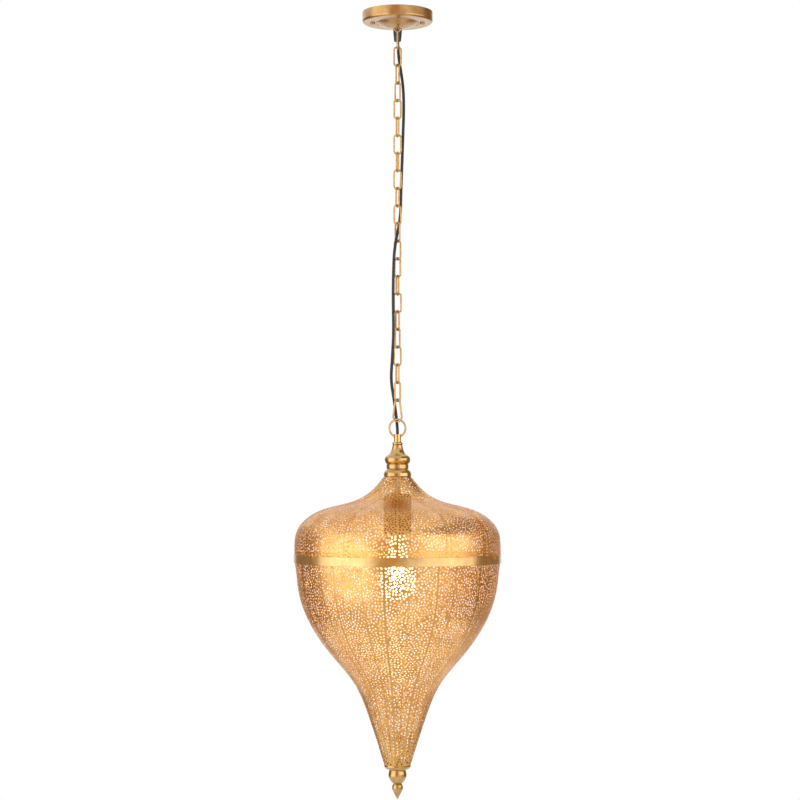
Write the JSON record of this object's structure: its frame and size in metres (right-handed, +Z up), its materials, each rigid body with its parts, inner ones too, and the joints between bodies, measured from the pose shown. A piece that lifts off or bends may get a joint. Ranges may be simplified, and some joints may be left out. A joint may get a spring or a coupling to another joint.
{
  "type": "hanging lantern",
  "caption": "Hanging lantern: a bulged shade of pierced metal gores in a plain band, drawn down to a finial, lit by a bulb, on a long-link chain with its cord below a ceiling canopy.",
  "frame": {"origin": "on the ceiling, at the centre of the mounting bracket's slots and of the canopy's rim", "axes": "+Z up out of the ceiling along the plumb line of the chain and shade, X along the line of the slots, and the viewer of the picture on the -Y side"},
  "size_m": [0.35, 0.3506, 1.3304],
  "materials": {
    "canopy_brass": "antique, satin",
    "chain_brass": "antique, worn",
    "turned_brass": "antique, turned",
    "shade_brass": "copper-gold, pierced",
    "seam_brass": "soldered",
    "band_brass": "brushed",
    "fitting_steel": "plated",
    "black_plastic": "matte",
    "cord_black": "smooth",
    "terminal_plastic": "matte",
    "socket_brown": "satin",
    "socket_ceramic": "glazed",
    "bulb_metal": "bright",
    "bulb_clear": "clear",
    "bulb_glow": "lit"
  },
  "bodies": {
    "ceiling_fitting": {"ceiling_canopy": "canopy_brass", "mounting_bracket": "fitting_steel", "terminal_block": "terminal_plastic", "canopy_screws": "canopy_brass", "chain_eye": "chain_brass", "eye_nut": "fitting_steel", "cord_grip": "black_plastic", "cord_grip_nut": "black_plastic", "power_cord": "cord_black"},
    "link_01": {"chain_link_01": "chain_brass"},
    "link_02": {"chain_link_02": "chain_brass"},
    "link_03": {"chain_link_03": "chain_brass"},
    "link_04": {"chain_link_04": "chain_brass"},
    "link_05": {"chain_link_05": "chain_brass"},
    "link_06": {"chain_link_06": "chain_brass"},
    "link_07": {"chain_link_07": "chain_brass"},
    "link_08": {"chain_link_08": "chain_brass"},
    "link_09": {"chain_link_09": "chain_brass"},
    "link_10": {"chain_link_10": "chain_brass"},
    "link_11": {"chain_link_11": "chain_brass"},
    "link_12": {"chain_link_12": "chain_brass"},
    "link_13": {"chain_link_13": "chain_brass"},
    "link_14": {"chain_link_14": "chain_brass"},
    "link_15": {"chain_link_15": "chain_brass"},
    "link_16": {"chain_link_16": "chain_brass"},
    "link_17": {"chain_link_17": "chain_brass"},
    "link_18": {"chain_link_18": "chain_brass"},
    "link_19": {"chain_link_19": "chain_brass"},
    "link_20": {"chain_link_20": "chain_brass"},
    "link_21": {"chain_link_21": "chain_brass"},
    "pear": {"pear_link": "chain_brass"},
    "bail": {"bail_ring": "chain_brass"},
    "lantern": {"neck_stem": "turned_brass", "neck_vase": "turned_brass", "neck_collar": "turned_brass", "neck_flange": "turned_brass", "threaded_nipple": "fitting_steel", "shade_top_plate": "shade_brass", "nipple_nut": "fitting_steel", "upper_gores": "shade_brass", "upper_seam_straps": "seam_brass", "shade_band": "band_brass", "band_screws": "band_brass", "band_nuts": "band_brass", "lower_gores": "shade_brass", "lower_seam_straps": "seam_brass", "bottom_collar": "turned_brass", "finial": "turned_brass", "finial_nut": "fitting_steel", "socket_cap": "socket_brown", "socket_shell": "socket_brown", "socket_insert": "socket_ceramic", "centre_contact": "bulb_metal", "lamp_lead": "cord_black"},
    "bulb": {"bulb_cap": "bulb_metal", "bulb_glass": "bulb_clear", "bulb_filament": "bulb_glow"}
  },
  "joints": [
    {"name": "link_01_swing", "type": "hinge", "parent": "ceiling_fitting", "child": "link_01", "pos_m": [0, 0, -0.0325], "axis": [-1, 0, 0], "range_deg": [-30, 30], "deforming": ["power_cord"]},
    {"name": "link_02_swing", "type": "hinge", "parent": "link_01", "child": "link_02", "pos_m": [0, 0, -0.0625], "axis": [0, 1, 0], "range_deg": [-30, 30]},
    {"name": "link_03_swing", "type": "hinge", "parent": "link_02", "child": "link_03", "pos_m": [0, 0, -0.0925], "axis": [1, 0, 0], "range_deg": [-30, 30]},
    {"name": "link_04_swing", "type": "hinge", "parent": "link_03", "child": "link_04", "pos_m": [0, 0, -0.1225], "axis": [-0.4067, -0.9135, 0], "range_deg": [-30, 30]},
    {"name": "link_05_swing", "type": "hinge", "parent": "link_04", "child": "link_05", "pos_m": [0, 0, -0.1525], "axis": [-0.6947, 0.7193, 0], "range_deg": [-30, 30]},
    {"name": "link_06_swing", "type": "hinge", "parent": "link_05", "child": "link_06", "pos_m": [0, 0, -0.1825], "axis": [0.9397, 0.342, 0], "range_deg": [-30, 30]},
    {"name": "link_07_swing", "type": "hinge", "parent": "link_06", "child": "link_07", "pos_m": [0, 0, -0.2125], "axis": [0.309, -0.9511, 0], "range_deg": [-30, 30]},
    {"name": "link_08_swing", "type": "hinge", "parent": "link_07", "child": "link_08", "pos_m": [0, 0, -0.2425], "axis": [0.9781, 0.2079, 0], "range_deg": [-30, 30]},
    {"name": "link_09_swing", "type": "hinge", "parent": "link_08", "child": "link_09", "pos_m": [0, 0, -0.2725], "axis": [-0.2588, 0.9659, 0], "range_deg": [-30, 30]},
    {"name": "link_10_swing", "type": "hinge", "parent": "link_09", "child": "link_10", "pos_m": [0, 0, -0.3025], "axis": [-0.9703, -0.2419, 0], "range_deg": [-30, 30]},
    {"name": "link_11_swing", "type": "hinge", "parent": "link_10", "child": "link_11", "pos_m": [0, 0, -0.3325], "axis": [0.4067, -0.9135, 0], "range_deg": [-30, 30]},
    {"name": "link_12_swing", "type": "hinge", "parent": "link_11", "child": "link_12", "pos_m": [0, 0, -0.3625], "axis": [-0.9397, -0.342, 0], "range_deg": [-30, 30]},
    {"name": "link_13_swing", "type": "hinge", "parent": "link_12", "child": "link_13", "pos_m": [0, 0, -0.3925], "axis": [-0.6157, 0.788, 0], "range_deg": [-30, 30]},
    {"name": "link_14_swing", "type": "hinge", "parent": "link_13", "child": "link_14", "pos_m": [0, 0, -0.4225], "axis": [0.866, 0.5, 0], "range_deg": [-30, 30]},
    {"name": "link_15_swing", "type": "hinge", "parent": "link_14", "child": "link_15", "pos_m": [0, 0, -0.4525], "axis": [0.809, -0.5878, 0], "range_deg": [-30, 30]},
    {"name": "link_16_swing", "type": "hinge", "parent": "link_15", "child": "link_16", "pos_m": [0, 0, -0.4825], "axis": [-0.309, -0.9511, 0], "range_deg": [-30, 30]},
    {"name": "link_17_swing", "type": "hinge", "parent": "link_16", "child": "link_17", "pos_m": [0, 0, -0.5125], "axis": [-0.9976, 0.0698, 0], "range_deg": [-30, 30]},
    {"name": "link_18_swing", "type": "hinge", "parent": "link_17", "child": "link_18", "pos_m": [0, 0, -0.5425], "axis": [0.4384, 0.8988, 0], "range_deg": [-30, 30]},
    {"name": "link_19_swing", "type": "hinge", "parent": "link_18", "child": "link_19", "pos_m": [0, 0, -0.5725], "axis": [0.6428, -0.766, 0], "range_deg": [-30, 30]},
    {"name": "link_20_swing", "type": "hinge", "parent": "link_19", "child": "link_20", "pos_m": [0, 0, -0.6025], "axis": [-0.9511, -0.309, 0], "range_deg": [-30, 30]},
    {"name": "link_21_swing", "type": "hinge", "parent": "link_20", "child": "link_21", "pos_m": [0, 0, -0.6325], "axis": [-0.342, 0.9397, 0], "range_deg": [-30, 30]},
    {"name": "pear_swing", "type": "hinge", "parent": "link_21", "child": "pear", "pos_m": [0, 0, -0.6625], "axis": [0.766, 0.6428, 0], "range_deg": [-30, 30]},
    {"name": "bail_swing", "type": "hinge", "parent": "pear", "child": "bail", "pos_m": [0, 0, -0.69695], "axis": [0.8387, -0.5446, 0], "range_deg": [-30, 30]},
    {"name": "lantern_swing", "type": "hinge", "parent": "bail", "child": "lantern", "pos_m": [0, 0, -0.72193], "axis": [-0.9272, -0.3746, 0], "range_deg": [-40, 40]},
    {"name": "bulb_turn", "type": "hinge", "parent": "lantern", "child": "bulb", "pos_m": [0, 0, -0.8752], "axis": [0, 0, -1], "continuous": true}
  ]
}
